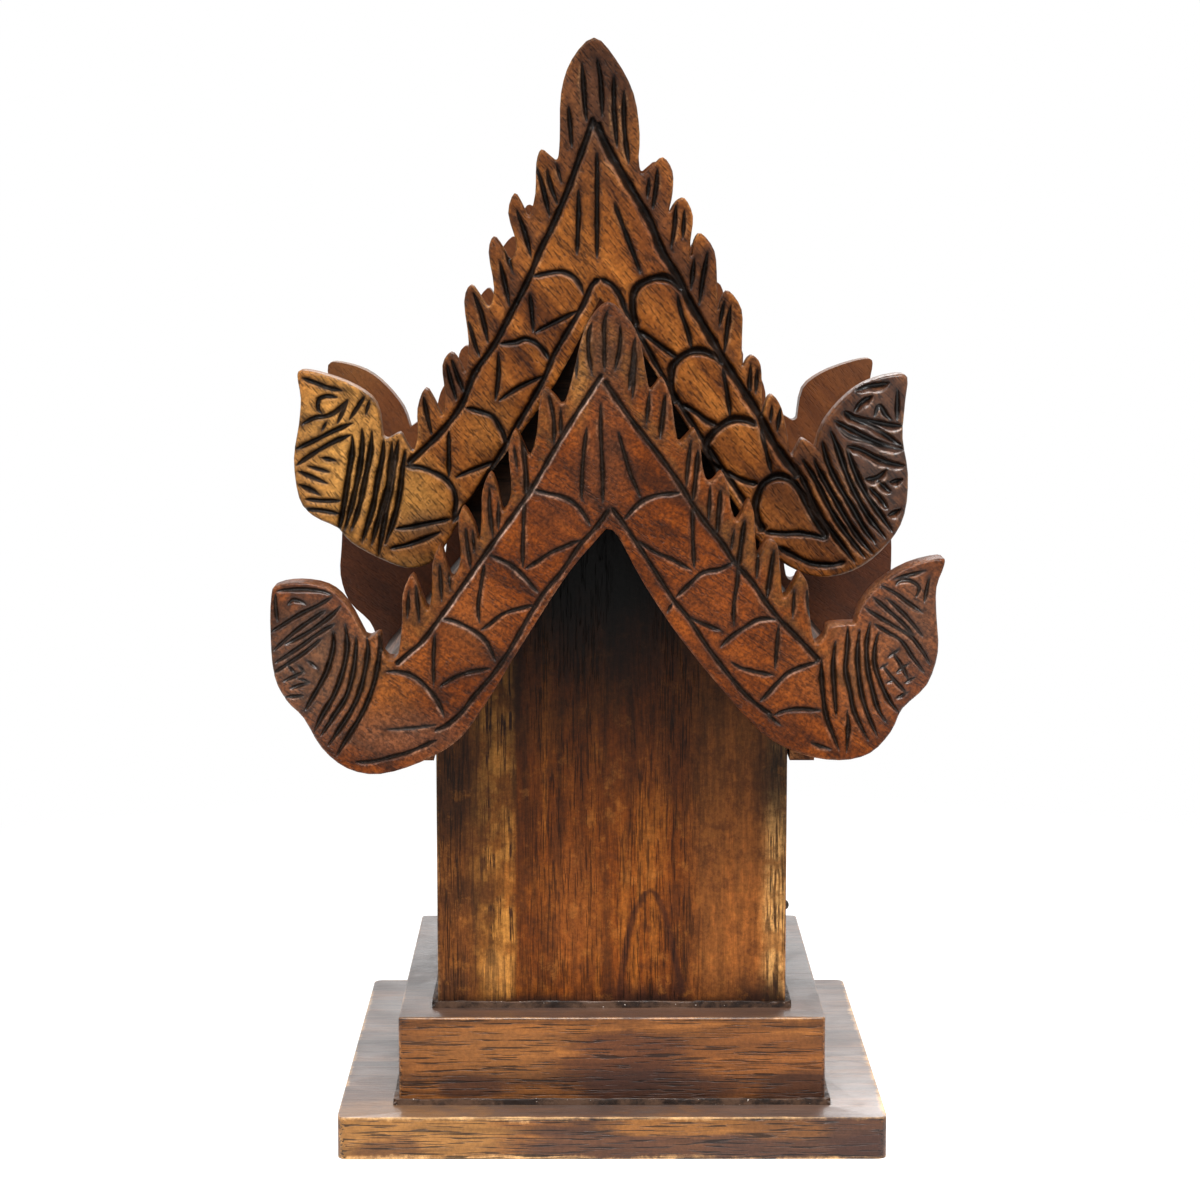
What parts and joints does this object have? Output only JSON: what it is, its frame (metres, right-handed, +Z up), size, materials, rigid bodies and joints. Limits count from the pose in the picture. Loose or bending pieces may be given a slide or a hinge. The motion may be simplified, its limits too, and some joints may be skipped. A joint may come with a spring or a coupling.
{
  "type": "incense burner",
  "caption": "Tabletop wooden incense burner shaped as a small temple, with carved flame-edged gable boards, lift-off tiered roof, pierced grate and cup, and a side ash drawer.",
  "frame": {"origin": "centre of the base slab's underside, where the burner rests", "axes": "+Z up to the roof finials, +X out through the ash drawer, +Y from the front gable to the rear gable"},
  "size_m": [0.1984, 0.198, 0.3348],
  "materials": {
    "base_wood": "dark stained teak, worn satin",
    "body_wood": "dark stained teak, satin",
    "inner_wood": "unpolished stained wood, sooty",
    "roof_wood": "dark stained wood, matte",
    "lower_board_wood": "carved stained teak, satin",
    "upper_board_wood": "carved stained teak, satin",
    "aged_brass": "aged, dull",
    "dark_iron": "blackened iron"
  },
  "bodies": {
    "base": {"base_slab": "base_wood", "plinth_block": "base_wood", "front_wall": "body_wood", "rear_wall": "body_wood", "left_wall": "body_wood", "right_wall": "body_wood", "near_runner": "inner_wood", "far_runner": "inner_wood", "near_cleat": "inner_wood", "far_cleat": "inner_wood", "base_screws": "dark_iron", "incense_grate": "aged_brass"},
    "cup": {"incense_cup": "aged_brass"},
    "drawer": {"drawer_front": "body_wood", "drawer_near_side": "inner_wood", "drawer_far_side": "inner_wood", "drawer_back": "inner_wood", "drawer_bottom": "inner_wood", "drawer_knob": "dark_iron", "ash_liner": "aged_brass"},
    "roof": {"lower_left_panel": "roof_wood", "lower_right_panel": "roof_wood", "left_batten": "roof_wood", "right_batten": "roof_wood", "front_tie": "inner_wood", "rear_tie": "inner_wood", "lower_front_ridge": "roof_wood", "lower_rear_ridge": "roof_wood", "lower_front_board": "lower_board_wood", "lower_rear_board": "lower_board_wood", "front_rib": "inner_wood", "rear_rib": "inner_wood", "upper_left_panel": "roof_wood", "upper_right_panel": "roof_wood", "upper_ridge": "roof_wood", "upper_front_board": "upper_board_wood", "upper_rear_board": "upper_board_wood"}
  },
  "joints": [
    {"name": "drawer_slide", "type": "slide", "parent": "base", "child": "drawer", "axis": [1, 0, 0], "range_m": [0, 0.06]},
    {"name": "roof_lift", "type": "slide", "parent": "base", "child": "roof", "axis": [0, 0, 1], "range_m": [0, 0.1]},
    {"name": "cup_lift", "type": "slide", "parent": "base", "child": "cup", "axis": [0, 0, 1], "range_m": [0, 0.05]}
  ]
}
